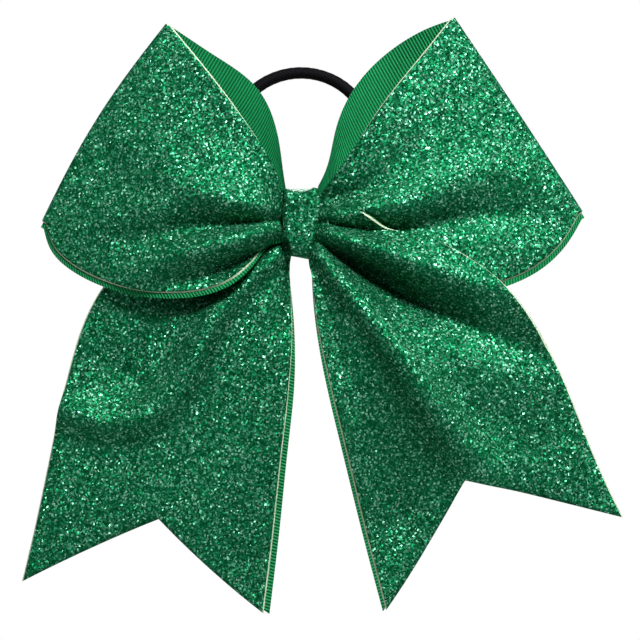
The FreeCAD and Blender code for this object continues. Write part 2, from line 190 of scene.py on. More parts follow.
RIGHT_FOLDS = [
    [(7.5, 7.2, -1.2, 2.0), (15.0, 8.2, -1.5, 3.2), (26.0, 14.0, -1.6, 5.0), (44.0, 30.0, -1.6, 8.0)],
    [(7.5, 2.4, 1.8, 2.0), (19.0, 3.0, 2.4, 3.0), (32.0, 5.5, 2.0, 4.5), (50.0, 13.0, 2.4, 6.0),
     (66.0, 18.5, 3.4, 6.0), (82.0, 12.0, 2.4, 6.0)],
    [(7.0, -0.8, -2.6, 2.0), (20.0, -2.6, -3.2, 3.2), (34.0, -2.6, -3.0, 4.0), (50.0, 0.5, -3.0, 5.0),
     (68.0, 2.5, -3.4, 6.0), (80.0, 2.0, -2.0, 6.0)],
    [(7.0, -3.8, 1.8, 1.9), (20.0, -8.4, 3.0, 3.2), (34.0, -13.4, 2.8, 4.0), (50.0, -18.4, 2.0, 4.6),
     (65.0, -22.5, 1.4, 5.0)],
    [(6.4, -7.2, -3.0, 2.0), (20.0, -15.2, -6.5, 4.4), (38.0, -26.0, -7.0, 6.2), (58.0, -35.0, -4.2, 6.5),
     (78.0, -42.0, -1.6, 6.5)],
    [(6.0, -10.4, 1.8, 2.0), (14.0, -20.5, 2.8, 3.0), (24.0, -33.0, 4.0, 4.0), (36.0, -50.0, 5.2, 5.2),
     (47.0, -66.0, 5.6, 6.2), (57.0, -78.0, 3.6, 8.0)],
    [(4.5, -16.0, -1.0, 2.5), (10.0, -34.0, -1.4, 5.0), (22.0, -66.0, -1.6, 9.0), (32.0, -92.0, -1.2, 9.0)],
]


def folds(x, z, table, strength=1.0):
    """Depth change of the folds at points of the XZ plane. Forward is negative Y."""
    total = np.zeros_like(x)
    for fold in table:
        line = smooth_curve(fold, 70)
        gap = (x[..., None] - line[:, 0]) ** 2 + (z[..., None] - line[:, 1]) ** 2
        nearest = np.argmin(gap, axis=-1)
        distance = np.take_along_axis(gap, nearest[..., None], axis=-1)[..., 0]
        total += line[nearest, 2] * np.exp(-distance / line[nearest, 3] ** 2)
    away = np.maximum(np.hypot(x, z - PINCH_MIDDLE) - FOLD_REACH, 0.0)
    growth = FOLD_START + (1.0 - FOLD_START) * (1.0 - np.exp(-(away / FOLD_REACH) ** 2))
    return -FOLD_HEIGHT * total * strength * growth


def loop_lip(s):
    """Bare ribbon at a loop's lower edge, as a share of LOOP_LIP: it widens in a curl beside the knot."""
    return 1.0 + 1.1 * np.exp(-((s - 0.07) / 0.035) ** 2)


def tail_lip(s):
    """Bare ribbon at a tail's inner edge, as a share of its lip: none at the knot."""
    return ease((s - 0.05) / 0.35)


class Layer:
    """One stretch of the strip, ruled between two outlines, with a depth for every point."""

    def __init__(self, first_edge, second_edge, depth, bare, cut=None, bow=(0.0, 0.0)):
        self.first_edge = first_edge
        self.second_edge = second_edge
        self.depth = depth
        self.bare = bare
        self.cut = cut
        self.bow = np.array(bow)

    def points(self, s, t, lip=0.0):
        """Points at shares along (s) and across (t). lip leaves that many millimetres at the second edge."""
        if self.cut:
            s = s - self.cut(t) * ease((s - 0.45) / 0.55)
        a = at(self.first_edge, s)
        b = at(self.second_edge, s)
        width = np.linalg.norm(b - a, axis=-1)
        t = t * (1.0 - lip * self.bare(s) / width)
        flat = a + (b - a) * t[..., None]
        flat = flat + self.bow * (np.sin(math.pi * t) * s * s)[..., None]
        depth = self.depth(s, t, flat[..., 0], flat[..., 1])
        return np.stack([flat[..., 0], depth, flat[..., 1]], axis=-1)


# ---- loops ---------------------------------------------------------------------------------------
def crease_points(side, length, lean, tilt):
    """Top and bottom of a loop's crease. length and lean (degrees above level) give its middle's place."""
    lean = math.radians(lean)
    tilt = math.radians(tilt)
    middle = np.array([side * length * math.cos(lean), length * math.sin(lean)])
    half = np.array([-side * math.sin(tilt), math.cos(tilt)]) * RIBBON_WIDTH / 2.0
    return middle + half, middle - half


def outward(side, line):
    """Unit vector square to a line in XZ, pointing away from the knot."""
    away = np.array([-line[1], line[0]]) / np.linalg.norm(line)
    return away if away[0] * side > 0 else -away


def loop_layers(side, crease, front_pass, bulge, bow, table, edges):
    """The two layers of a loop. bow is how far the crease stands out at its middle.

    bulge is how far the front layer swells forward, and edges are the outlines of its top and bottom,
    then of the back layer's.
    """
    top, bottom = crease
    front_top, front_bottom, back_top, back_bottom = edges

    def front_depth(s, t, x, z):
        s = np.clip(s, 0.0, 1.0)
        base = mix(front_pass, CREASE_DEPTH - CREASE_RADIUS, ease(s))
        swell = np.sin(math.pi * s ** 0.8) * (1.0 - 0.3 * (2.0 * t - 1.0) ** 2)
        return base - bulge * swell + folds(x, z, table) * (1.0 - s ** 3)

    def back_depth(s, t, x, z):
        s = np.clip(s, 0.0, 1.0)
        base = mix(BACK_PASS, CREASE_DEPTH + CREASE_RADIUS, ease(s))
        belly = BACK_BELLY * np.sin(math.pi * s) ** 2 + BACK_BELLY_END * np.sin(math.pi * s ** 2) ** 2
        return base + belly + folds(x, z, table, BACK_FOLDS) * (1.0 - s ** 2)

    bow = outward(side, bottom - top) * bow
    front = Layer(front_top, front_bottom, front_depth, loop_lip, bow=bow)
    back = Layer(back_top, back_bottom, back_depth, loop_lip, bow=bow)
    return front, back, top, bottom, bow


UP = (0, 1)
DOWN = (0, -1)
left_top, left_bottom = crease_points(-1, 67.6, 26.0, 32.0)
left_knot_top = (-WING_START, PINCH_TOP)
left_loop = loop_layers(-1, (left_top, left_bottom), FRONT_PASS, 10.5, 2.6, LEFT_FOLDS, (
    bowed_edge(left_knot_top, left_top, UP, [(0.12, 0.03), (0.30, 0.042), (0.65, 0.030)]),
    smooth_curve([(-WING_START, -6.6), (-9.9, -7.9), (-12.8, -11.6), (-16.4, -16.2), (-21.5, -20.3),
                  (-27.5, -22.7), (-37.3, -24.2), (-52.2, -23.0), (-70.5, -16.2), (-78.6, -8.6),
                  left_bottom], OUTLINE_POINTS),
    smooth_curve([(-4.8, 11.4), (-5.4, 15.0), (-7.0, 26.0), (-13.6, 42.3), (-27.8, 53.4), left_top],
                 OUTLINE_POINTS),
    bowed_edge((-WING_START, PINCH_BOTTOM), left_bottom, DOWN,
               [(0.15, 0.10), (0.40, 0.20), (0.70, 0.19), (0.93, 0.09)])))

right_top, right_bottom = crease_points(1, 74.9, 25.4, 33.4)
right_knot_top = (WING_START, PINCH_TOP)
right_loop = loop_layers(1, (right_top, right_bottom), MIDDLE_PASS, 7.5, 0.3, RIGHT_FOLDS, (
    bowed_edge(right_knot_top, right_top, UP, [(0.10, -0.004), (0.50, 0.014), (0.78, 0.006)]),
    bowed_edge((WING_START, PINCH_BOTTOM), right_bottom, DOWN,
               [(0.10, 0.066), (0.20, 0.170), (0.40, 0.245), (0.60, 0.250), (0.80, 0.196), (0.94, 0.085)]),
    smooth_curve([(5.6, 11.4), (7.8, 15.9), (11.3, 29.8), (17.9, 43.8), (27.5, 53.9), (41.3, 61.8),
                  right_top], OUTLINE_POINTS),
    bowed_edge((WING_START, PINCH_BOTTOM), right_bottom, DOWN,
               [(0.15, 0.10), (0.40, 0.21), (0.70, 0.20), (0.93, 0.09)])))


# ---- tails ---------------------------------------------------------------------------------------
def tail_tips(side, length, lean, slant, width):
    """Outer and inner corner of a cut end. length and lean (degrees off straight down) place its middle."""
    lean = math.radians(lean)
    slant = math.radians(slant)
    middle = np.array([side * length * math.sin(lean), -length * math.cos(lean)])
    half = np.array([side * math.cos(slant), math.sin(slant)]) * width / 2.0
    return middle + half, middle - half


def tail_layer(notch, notch_place, pass_y, shoulder, hang, table, outer_edge, inner_edge, roll):
    """A tail from the knot to its cut end.

    notch is the depth of the V in the cut end, and notch_place its share of the width. shoulder and hang are
    how far forward the tail comes beside the knot and further down. roll(x, z, t) is how far its upper edge
    is turned back at the knot.
    """
    middle = (outer_edge[-1] + inner_edge[-1]) / 2.0

    def depth(s, t, x, z):
        s = np.clip(s, 0.0, 1.0)
        rise = shoulder * (1.0 - np.exp(-s / 0.03)) * (1.0 - ease((s - 0.4) / 0.4))
        settle = hang * ease(s / 0.6)
        sway = TAIL_SWAY * s * np.sin(2.0 * math.pi * (0.8 * t + 0.55 * s + 0.1))
        return pass_y - rise - settle + sway + folds(x, z, table) + roll(x, z, t)

    def cut(t):
        away = np.where(t < notch_place, notch_place, 1.0 - notch_place)
        return notch / np.linalg.norm(middle) * (1.0 - np.abs(t - notch_place) / away)

    return Layer(outer_edge, inner_edge, depth, tail_lip, cut)


def no_roll(x, z, t):
    return 0.0


def edge_roll(x, z, t):
    """The right tail's upper edge is turned back over its first 20 mm, so that a rounded fold shows."""
    near = 1.0 - ease((np.abs(x) - 15.0) / 9.0)
    return 3.4 * np.clip(1.0 - t / 0.16, 0.0, 1.0) ** 2 * near


left_tips = tail_tips(-1, 127.5, 22.3, 7.7, 78.0)
left_strip = tail_layer(
    23.6, 0.5, MIDDLE_PASS, 0.8, 2.0, LEFT_FOLDS,
    bowed_edge(left_knot_top, left_tips[0], (-1, 0),
               [(0.09, 0.095), (0.22, 0.290), (0.38, 0.400), (0.57, 0.325), (0.73, 0.205), (0.89, 0.080)]),
    smooth_curve([(-3.2, -9.6), (-3.6, -14.0), (-3.2, -20.0), (-2.2, -30.0), (-1.7, -42.0), (-2.2, -55.0),
                  (-3.8, -70.0), (-6.6, -97.0), left_tips[1]], OUTLINE_POINTS),
    no_roll)
right_tips = tail_tips(1, 124.6, 30.5, 21.5, 80.5)
right_strip = tail_layer(
    28.4, 0.53125, FRONT_PASS, 7.5, 1.0, RIGHT_FOLDS,
    smooth_curve([(WING_START, 3.6), (13.0, 3.3), (20.8, 1.9), (27.0, -2.0), (33.5, -3.9), (44.3, -7.4),
                  (54.5, -13.2), (64.2, -21.2), (75.8, -36.8), (85.5, -57.8), (96.2, -83.5), right_tips[0]],
                 OUTLINE_POINTS),
    smooth_curve([(3.3, -9.8), (3.5, -14.0), (3.7, -20.0), (4.5, -30.0), (6.3, -42.0), (9.0, -55.0),
                  (12.6, -70.0), (19.2, -97.0), right_tips[1]], OUTLINE_POINTS),
    edge_roll)


# ---- sheets of cloth -----------------------------------------------------------------------------
def knotward(points, side, inner_x):
    """Extra rows that carry a strip inside the wrap to inner_x: the same gathers, lowered under PINCH_TOP."""
    first = points[0]
    extra = []
    for i in range(ROOT_ROWS):
        row = first.copy()
        share = i / ROOT_ROWS
        row[:, 0] = side * mix(inner_x, np.abs(first[:, 0]), share)
        row[:, 2] = np.minimum(row[:, 2], PINCH_TOP + (row[:, 2] - PINCH_TOP) * share ** 2)
        extra.append(row)
    return np.concatenate([np.array(extra), points], axis=0)


def row_shares(rows):
    """Shares along a layer, closer together near the knot, where the gathers are."""
    even = np.linspace(0.0, 1.0, rows)
    return 0.55 * even + 0.45 * even ** 2


def loop_grid(side, loop, t, lip=0.0):
    """Inner face of a whole loop: front layer, fold round the crease, back layer."""
    front, back, top, bottom, bow = loop
    s_grid, t_grid = np.meshgrid(row_shares(LOOP_ROWS), t, indexing="ij")
    out = knotward(front.points(s_grid, t_grid, lip), side, LOOP_ROOT)
    home = knotward(back.points(s_grid, t_grid, lip), side, LOOP_ROOT)[::-1]
    line = bottom - top
    away = outward(side, line)
    t_end = t * (1.0 - lip / np.linalg.norm(line))
    fold = []
    for angle in np.radians(np.linspace(-90, 90, 9))[1:-1]:
        flat = top + line * t_end[:, None] + away * CREASE_RADIUS * math.cos(angle)
        flat = flat + bow * np.sin(math.pi * t_end)[:, None]
        depth = np.full(len(t), CREASE_DEPTH + CREASE_RADIUS * math.sin(angle))
        fold.append(np.stack([flat[:, 0], depth, flat[:, 1]], axis=-1))
    return np.concatenate([out, np.array(fold), home], axis=0)


def tail_grid(side, strip, t, lip=0.0):
    """Inner face of a tail."""
    s_grid, t_grid = np.meshgrid(row_shares(TAIL_ROWS), t, indexing="ij")
    return knotward(strip.points(s_grid, t_grid, lip), side, TAIL_ROOT)


def normals_of(grid):
    """Unit normals of a grid, on the side that faces the front at its first rows."""
    along = np.gradient(grid, axis=0)
    across = np.gradient(grid, axis=1)
    normal = np.cross(along, across)
    size = np.linalg.norm(normal, axis=-1, keepdims=True)
    normal = normal / np.maximum(size, 1e-9)
    middle = normal[len(normal) // 6, normal.shape[1] // 2]
    if middle[1] >= 0:
        normal = -normal
    for _ in range(2):
        normal[1:-1] = (normal[:-2] + 2 * normal[1:-1] + normal[2:]) / 4.0
        normal /= np.maximum(np.linalg.norm(normal, axis=-1, keepdims=True), 1e-9)
    return normal


def travel(grid):
    """Distance along the strip, from its first row, of every point."""
    steps = np.linalg.norm(np.diff(grid, axis=0), axis=2)
    return np.concatenate([np.zeros((1, grid.shape[1])), np.cumsum(steps, axis=0)])


def sheet_mesh(name, lower, upper, t, materials, edge_slot, face_slot, back_slot):
    """Closed sheet between two grids, with its cloth coordinates."""
    rows, columns = lower.shape[:2]
    distance = travel(lower)
    verts = np.concatenate([lower.reshape(-1, 3), upper.reshape(-1, 3)]) * MM
    across = np.tile(t * RIBBON_WIDTH, rows)
    along = distance.ravel()
    cloth = np.stack([across, along, np.zeros_like(across)], axis=1)
    cloth = np.concatenate([cloth, cloth]) * MM
    count = rows * columns

    def index(i, j, top):
        return i * columns + j + (count if top else 0)

    faces = []
    slots = []
    for i in range(rows - 1):
        for j in range(columns - 1):
            faces.append((index(i, j, 1), index(i + 1, j, 1), index(i + 1, j + 1, 1), index(i, j + 1, 1)))
            slots.append(face_slot)
            faces.append((index(i, j, 0), index(i, j + 1, 0), index(i + 1, j + 1, 0), index(i + 1, j, 0)))
            slots.append(back_slot)
    border = [(i, 0) for i in range(rows)] + [(rows - 1, j) for j in range(1, columns)]
    border += [(i, columns - 1) for i in range(rows - 2, -1, -1)]
    border += [(0, j) for j in range(columns - 2, 0, -1)]
    for k in range(len(border)):
        a = border[k]
        b = border[(k + 1) % len(border)]
        faces.append((index(*a, 0), index(*b, 0), index(*b, 1), index(*a, 1)))
        slots.append(edge_slot)
    mesh = bpy.data.meshes.new(name)
    mesh.from_pydata(verts.tolist(), [], faces)
    for material in materials:
        mesh.materials.append(material)
    mesh.polygons.foreach_set("material_index", slots)
    mesh.polygons.foreach_set("use_smooth", [slot != edge_slot for slot in slots])
    for label, values in (("cloth", cloth), ("rest", verts)):
        attribute = mesh.attributes.new(label, "FLOAT_VECTOR", "POINT")
        attribute.data.foreach_set("vector", values.astype(np.float32).ravel())
    mesh.update()
    fix_normals(mesh)
    made = bpy.data.objects.new(name, mesh)
    bpy.context.collection.objects.link(made)
    return made


def fix_normals(mesh):
    work = bmesh.new()
    work.from_mesh(mesh)
    bmesh.ops.recalc_face_normals(work, faces=work.faces)
    work.to_mesh(mesh)
    work.free()
    mesh.update()


# ---- materials -----------------------------------------------------------------------------------
def new_material(name):
    material = bpy.data.materials.new(name)
    material.use_nodes = True
    nodes = material.node_tree.nodes
    shader = nodes["Principled BSDF"]
    return material, nodes, material.node_tree.links, shader


def add(nodes, kind, **settings):
    node = nodes.new(kind)
    for key, value in settings.items():
        setattr(node, key, value)
    return node


def ramp(nodes, stops):
    node = nodes.new("ShaderNodeValToRGB")
    elements = node.color_ramp.elements
    while len(elements) < len(stops):
        elements.new(0.5)
    for element, (place, colour) in zip(elements, stops):
        element.position = place
        element.color = (*colour, 1.0)
    return node


def attribute(nodes, name):
    return add(nodes, "ShaderNodeAttribute", attribute_name=name, attribute_type="GEOMETRY").outputs["Vector"]


def noise(nodes, links, place, scale, detail=None):
    """Output of a noise texture over the vectors of place."""
    texture = add(nodes, "ShaderNodeTexNoise", noise_dimensions="3D")
    texture.inputs["Scale"].default_value = scale
    if detail is not None:
        texture.inputs["Detail"].default_value = detail
    links.new(place, texture.inputs["Vector"])
    return texture.outputs["Fac"]


def ribs(nodes, links, place, direction, pitch, distortion):
    """A wave texture whose lines are pitch metres apart."""
    texture = add(nodes, "ShaderNodeTexWave", wave_type="BANDS", bands_direction=direction,
                  wave_profile="SIN")
    texture.inputs["Scale"].default_value = 2.0 * math.pi / pitch / 20.0
    texture.inputs["Distortion"].default_value = distortion
    links.new(place, texture.inputs["Vector"])
    return texture


def coloured(nodes, links, value, stops):
    """Colours of the stops, picked by value."""
    node = ramp(nodes, stops)
    links.new(value, node.inputs["Fac"])
    return node.outputs["Color"]


def product(nodes, links, first, second):
    node = add(nodes, "ShaderNodeMix", data_type="RGBA", blend_type="MULTIPLY")
    node.inputs["Factor"].default_value = 1.0
    links.new(first, node.inputs["A"])
    links.new(second, node.inputs["B"])
    return node.outputs["Result"]


def bump(nodes, links, height, strength, distance):
    node = nodes.new("ShaderNodeBump")
    node.inputs["Strength"].default_value = strength
    node.inputs["Distance"].default_value = distance
    links.new(height, node.inputs["Height"])
    return node


def glitter_material():
    """Metallic flakes at random tilts on a dark green base: each Voronoi cell is one flake."""
    material, nodes, links, shader = new_material("green_glitter")
    place = attribute(nodes, "rest")
    flakes = add(nodes, "ShaderNodeTexVoronoi", voronoi_dimensions="3D", feature="F1")
    flakes.inputs["Scale"].default_value = 2050.0
    flakes.inputs["Randomness"].default_value = 1.0
    links.new(place, flakes.inputs["Vector"])
    # A second random value per flake, so that its colour doesn't follow its tilt.
    tint = add(nodes, "ShaderNodeTexWhiteNoise", noise_dimensions="3D")
    links.new(flakes.outputs["Color"], tint.inputs["Vector"])
    split = nodes.new("ShaderNodeSeparateColor")
    links.new(tint.outputs["Color"], split.inputs["Color"])

    # Flake colours: the dark greens are the flakes' own colours. The pale mint and near-white stops at the
    # top of the ramp are painted glints, sparkle painted into the colour so that it shows under any lamp, on
    # top of the real metallic glint.
    colour = coloured(nodes, links, split.outputs["Red"], [
        (0.00, (0.001, 0.075, 0.022)), (0.40, (0.004, 0.120, 0.043)), (0.70, (0.012, 0.180, 0.075)),
        (0.84, (0.050, 0.280, 0.150)), (0.94, (0.150, 0.440, 0.280)), (1.00, (0.280, 0.640, 0.440)),
    ])
    shade = coloured(nodes, links, noise(nodes, links, place, 45.0, 3.0),
                     [(0.3, (0.86, 0.86, 0.86)), (0.7, (1.1, 1.1, 1.1))])
    links.new(product(nodes, links, colour, shade), shader.inputs["Base Color"])

    # Flake tilt: the surface normal leans by a random amount that is constant over a cell.
    centred = add(nodes, "ShaderNodeVectorMath", operation="SUBTRACT")
    centred.inputs[1].default_value = (0.5, 0.5, 0.5)
    links.new(flakes.outputs["Color"], centred.inputs[0])
    lean = add(nodes, "ShaderNodeVectorMath", operation="SCALE")
    lean.inputs["Scale"].default_value = 0.8
    links.new(centred.outputs["Vector"], lean.inputs[0])
    surface = nodes.new("ShaderNodeNewGeometry")
    total = add(nodes, "ShaderNodeVectorMath", operation="ADD")
    links.new(surface.outputs["Normal"], total.inputs[0])
    links.new(lean.outputs["Vector"], total.inputs[1])
    unit = add(nodes, "ShaderNodeVectorMath", operation="NORMALIZE")
    links.new(total.outputs["Vector"], unit.inputs[0])
    links.new(unit.outputs["Vector"], shader.inputs["Normal"])

    rough = coloured(nodes, links, split.outputs["Green"],
                     [(0.0, (0.38, 0.38, 0.38)), (1.0, (0.6, 0.6, 0.6))])
    links.new(rough, shader.inputs["Roughness"])
    shader.inputs["Metallic"].default_value = 0.7
    shader.inputs["Specular IOR Level"].default_value = 0.0
    return material


def grosgrain_material():
    """Ribbed ribbon: ribs run across the width, 1 mm apart, over a fine uneven weave."""
    material, nodes, links, shader = new_material("green_grosgrain")
    cloth = attribute(nodes, "cloth")
    lines = ribs(nodes, links, cloth, "Y", 0.0010, 0.25)
    lines.inputs["Detail"].default_value = 1.0
    lines.inputs["Detail Scale"].default_value = 2.0
    # Rib colour runs from a shaded dark green in each rib's hollow to a lit green on its crest. This is
    # painted shade and painted highlight, over the ribs' real bump further down.
    base = coloured(nodes, links, lines.outputs["Fac"],
                    [(0.0, (0.001, 0.085, 0.023)), (0.5, (0.004, 0.185, 0.054)),
                     (1.0, (0.016, 0.310, 0.105))])
    shade = coloured(nodes, links, noise(nodes, links, cloth, 90.0, 4.0),
                     [(0.3, (0.85, 0.85, 0.85)), (0.7, (1.1, 1.1, 1.1))])
    links.new(product(nodes, links, base, shade), shader.inputs["Base Color"])

    rib_bump = bump(nodes, links, lines.outputs["Fac"], 0.9, 0.00025)
    weave_bump = bump(nodes, links, noise(nodes, links, cloth, 1500.0), 0.35, 0.00005)
    links.new(rib_bump.outputs["Normal"], weave_bump.inputs["Normal"])
    links.new(weave_bump.outputs["Normal"], shader.inputs["Normal"])
    shader.inputs["Roughness"].default_value = 0.6
    shader.inputs["Specular IOR Level"].default_value = 0.08
    return material


def backing_material():
    """Cream woven backing of the glitter fabric, seen at its cut edges."""
    material, nodes, links, shader = new_material("cream_backing")
    speck = noise(nodes, links, attribute(nodes, "rest"), 1400.0, 2.0)
    colour = coloured(nodes, links, speck,
                      [(0.25, (0.22, 0.36, 0.22)), (0.5, (0.52, 0.60, 0.42)), (0.8, (0.74, 0.78, 0.62))])
    links.new(colour, shader.inputs["Base Color"])
    links.new(bump(nodes, links, speck, 0.6, 0.0001).outputs["Normal"], shader.inputs["Normal"])
    shader.inputs["Roughness"].default_value = 0.85
    return material


def elastic_material():
    """Black knitted cover with a soft, slightly furry sheen."""
    material, nodes, links, shader = new_material("black_elastic")
    cloth = attribute(nodes, "cloth")
    threads = ribs(nodes, links, cloth, "DIAGONAL", 0.0006, 0.4)
    colour = coloured(nodes, links, noise(nodes, links, cloth, 2600.0),
                      [(0.35, (0.0008, 0.0008, 0.0012)), (0.75, (0.004, 0.004, 0.0055))])
    links.new(colour, shader.inputs["Base Color"])
    relief = bump(nodes, links, threads.outputs["Fac"], 0.7, 0.00008)
    links.new(relief.outputs["Normal"], shader.inputs["Normal"])
    shader.inputs["Roughness"].default_value = 0.75
    shader.inputs["Specular IOR Level"].default_value = 0.08
    shader.inputs["Sheen Weight"].default_value = 0.01
    return material


def plain_material(name, colour, roughness, speck_scale):
    """Small hidden pieces: thread, glue and rubber, each with a little unevenness."""
    material, nodes, links, shader = new_material(name)
    coordinates = nodes.new("ShaderNodeTexCoord")
    speck = noise(nodes, links, coordinates.outputs["Object"], speck_scale)
    low = tuple(0.75 * c for c in colour)
    high = tuple(min(1.0, 1.2 * c) for c in colour)
    links.new(coloured(nodes, links, speck, [(0.3, low), (0.7, high)]), shader.inputs["Base Color"])
    links.new(bump(nodes, links, speck, 0.4, 0.0001).outputs["Normal"], shader.inputs["Normal"])
    shader.inputs["Roughness"].default_value = roughness
    return material


GLITTER = glitter_material()
GROSGRAIN = grosgrain_material()
BACKING = backing_material()
ELASTIC = elastic_material()
THREAD = plain_material("green_thread", (0.02, 0.16, 0.06), 0.7, 3000.0)
GLUE = plain_material("clear_glue", (0.75, 0.73, 0.66), 0.3, 400.0)
RUBBER = plain_material("rubber_core", (0.03, 0.03, 0.03), 0.6, 900.0)


# ---- build the sheets ----------------------------------------------------------------------------
def across_shares():
    """Shares across the width. The notches of both tails fall on one of these columns."""
    return np.linspace(0.0, 1.0, COLUMNS)


def inset_shares(shares):
    """The same shares with both ends pulled in by the slope of the cut edge."""
    moved = shares.copy()
    moved[0] += EDGE_SLOPE / RIBBON_WIDTH
    moved[-1] -= EDGE_SLOPE / RIBBON_WIDTH
    return moved


def ribbon_and_glitter(name, lip, make_grid):
    """The two bonded layers of one stretch of the strip. make_grid(t, lip) gives the ribbon's inner face."""
    t = across_shares()
    grid = make_grid(t, 0.0)
    upper = grid + normals_of(grid) * RIBBON_THICKNESS
    ribbon = sheet_mesh(name + "_ribbon_cloth", grid, upper, t, [GROSGRAIN], 0, 0, 0)
    grid = make_grid(t, lip)
    lower = grid + normals_of(grid) * (RIBBON_THICKNESS + BOND)
    inner = make_grid(inset_shares(t), lip)
    upper = inner + normals_of(inner) * LAYER
    glitter = sheet_mesh(name + "_glitter_cloth", lower, upper, t, [GLITTER, BACKING], 1, 0, 1)
    return ribbon, glitter


for name, side, loop, strip, tail_lip_width in (("left", -1, left_loop, left_strip, LEFT_TAIL_LIP),
                                                ("right", 1, right_loop, right_strip, RIGHT_TAIL_LIP)):
    for piece in ribbon_and_glitter(name + "_loop", LOOP_LIP, lambda t, lip: loop_grid(side, loop, t, lip)):
        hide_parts(piece.name.replace("_cloth", ""))
        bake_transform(piece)
    ribbon, glitter = ribbon_and_glitter(
        name + "_tail", tail_lip_width, lambda t, lip: tail_grid(side, strip, t, lip))
    for piece, kind in ((ribbon, "ribbon"), (glitter, "glitter")):
        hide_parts("%s_shoulder_%s" % (name, kind), "%s_tail_%s" % (name, kind))
        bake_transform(piece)


def bridge(name, left_row, right_row, forward):
    """Stretch of the strip inside the wrap, from the left strip's first row to the right one's.

    Its glitter ends two columns short, where the loops' and tails' ribbon is bare.
    """
    rows = np.linspace(0.0, 1.0, PASS_ROWS)[:, None, None]
    t = across_shares()
    grid = mix(left_row[None], right_row[None], rows)
    normal = np.zeros_like(grid)
    normal[..., 1] = -1.0 if forward else 1.0
    ribbon = sheet_mesh(name + "_ribbon_cloth", grid, grid + normal * RIBBON_THICKNESS, t,
                        [GROSGRAIN], 0, 0, 0)
    grid = grid[:, :-2]
    normal = normal[:, :-2]
    glitter = sheet_mesh(name + "_glitter_cloth", grid + normal * (RIBBON_THICKNESS + BOND),
                         grid + normal * LAYER, t[:-2], [GLITTER, BACKING], 1, 0, 1)
    for piece in (ribbon, glitter):
        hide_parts(piece.name.replace("_cloth", ""))
        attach(piece, "knot")


full = across_shares()
left_loop_rows = loop_grid(-1, left_loop, full)
right_loop_rows = loop_grid(1, right_loop, full)
left_tail_row = tail_grid(-1, left_strip, full)[0]
right_tail_row = tail_grid(1, right_strip, full)[0]
bridge("front_pass", left_loop_rows[0], right_tail_row, True)
bridge("middle_pass", left_tail_row, right_loop_rows[0], True)
bridge("back_pass", left_loop_rows[-1], right_loop_rows[-1], False)


# ---- wrap ----------------------------------------------------------------------------------------
WRAP_WIDTH = 11.2
WRAP_CORNER = 2.5            # radius of its bends round the knot
WRAP_REAR = -2.0             # its inner face, in Y and Z
WRAP_FRONT = -16.6
WRAP_TOP = 8.8
WRAP_BOTTOM = -10.4
WRAP_INNER_END = 3.9         # Z of its two ends, which overlap behind the knot
WRAP_OUTER_END = -6.1
WRAP_HALF = 5.55             # half its width behind the knot
WRAP_COLUMNS = 41
WRAP_ROWS = 170
WRAP_EDGE_STEP = 0.1         # how much narrower the wrap's ribbon, and its glitter's face, are


def arc_points(centre, radius, start, end, count=8):
    angles = np.radians(np.linspace(start, end, count))
    return [(centre[0] + radius * math.cos(a), centre[1] + radius * math.sin(a)) for a in angles]


def wrap_profile(offset):
    """The wrap's strip seen along X, in (Y, Z): from under its rear end, round the knot, to its rear end."""
    radius = WRAP_CORNER + offset
    rear_low = (WRAP_REAR - WRAP_CORNER, WRAP_BOTTOM + WRAP_CORNER)
    front_low = (WRAP_FRONT + WRAP_CORNER, WRAP_BOTTOM + WRAP_CORNER)
    front_high = (WRAP_FRONT + WRAP_CORNER, WRAP_TOP - WRAP_CORNER)
    rear_high = (rear_low[0] + LAYER, front_high[1] + LAYER)
    tilt = math.degrees(math.atan2(LAYER, rear_high[0] - front_high[0]))
    points = [(WRAP_REAR + offset, WRAP_INNER_END)]
    points += arc_points(rear_low, radius, 0, -90)
    points += arc_points(front_low, radius, -90, -180)
    points += arc_points(front_high, radius, 180, 90 + tilt)
    points += arc_points(rear_high, radius, 90 + tilt, 0)
    points.append((WRAP_REAR + LAYER + offset, WRAP_OUTER_END))
    return np.array(points)


def wrap_grid(offset, inset):
    """Surface of the wrap at an offset from its inner face, inset being taken off at both long edges.

    In front it is narrower at the bottom, hollow along the top, and its long edges are rolled in.
    """
    profile = wrap_profile(0.0)
    lengths = np.concatenate([[0.0], np.cumsum(np.linalg.norm(np.diff(profile, axis=0), axis=1))])
    wanted = np.linspace(0.0, lengths[-1], WRAP_ROWS)
    y = np.interp(wanted, lengths, profile[:, 0])
    z = np.interp(wanted, lengths, profile[:, 1])
    line = np.stack([y, z], axis=1)
    tangent = np.gradient(line, axis=0)
    tangent /= np.linalg.norm(tangent, axis=1, keepdims=True)
    out = np.stack([-tangent[:, 1], tangent[:, 0]], axis=1)
    front = ease((-y - 6.0) / 9.0)
    half = WRAP_HALF - 0.5 * front * ease((z - 2.0) / 7.0) - 1.7 * front * ease((-z - 3.0) / 6.0)
    half = half + 0.12 * np.sin(0.9 * z) * front - inset
    k = np.linspace(-1.0, 1.0, WRAP_COLUMNS)[None, :]
    roll = 0.85 * np.clip((np.abs(k) - 0.72) / 0.28, 0.0, 1.0) ** 2 * front[:, None]
    crown = 0.25 * (1.0 - k ** 2) * front[:, None]
    height = offset - roll + crown
    top = (ease((z - 4.0) / 6.0) * front)[:, None]
    bottom = ease((-z - 4.0) / 6.0)[:, None]
    grid = np.zeros((WRAP_ROWS, WRAP_COLUMNS, 3))
    grid[..., 0] = k * half[:, None]
    grid[..., 1] = y[:, None] + out[:, 0:1] * height
    grid[..., 2] = z[:, None] + out[:, 1:2] * height
    corner = np.where(k < 0, 1.8, 2.4) * np.abs(k) ** 2
    grid[..., 2] += top * (corner - 0.7) - bottom * (0.9 * k - 0.2)
    return grid


def wrap_piece(name, low, high, inset, slope, materials, slots):
    lower = wrap_grid(low, inset)
    upper = wrap_grid(high, inset + slope)
    t = np.linspace(0.0, WRAP_WIDTH / RIBBON_WIDTH, lower.shape[1])
    return sheet_mesh(name, lower, upper, t, materials, *slots)


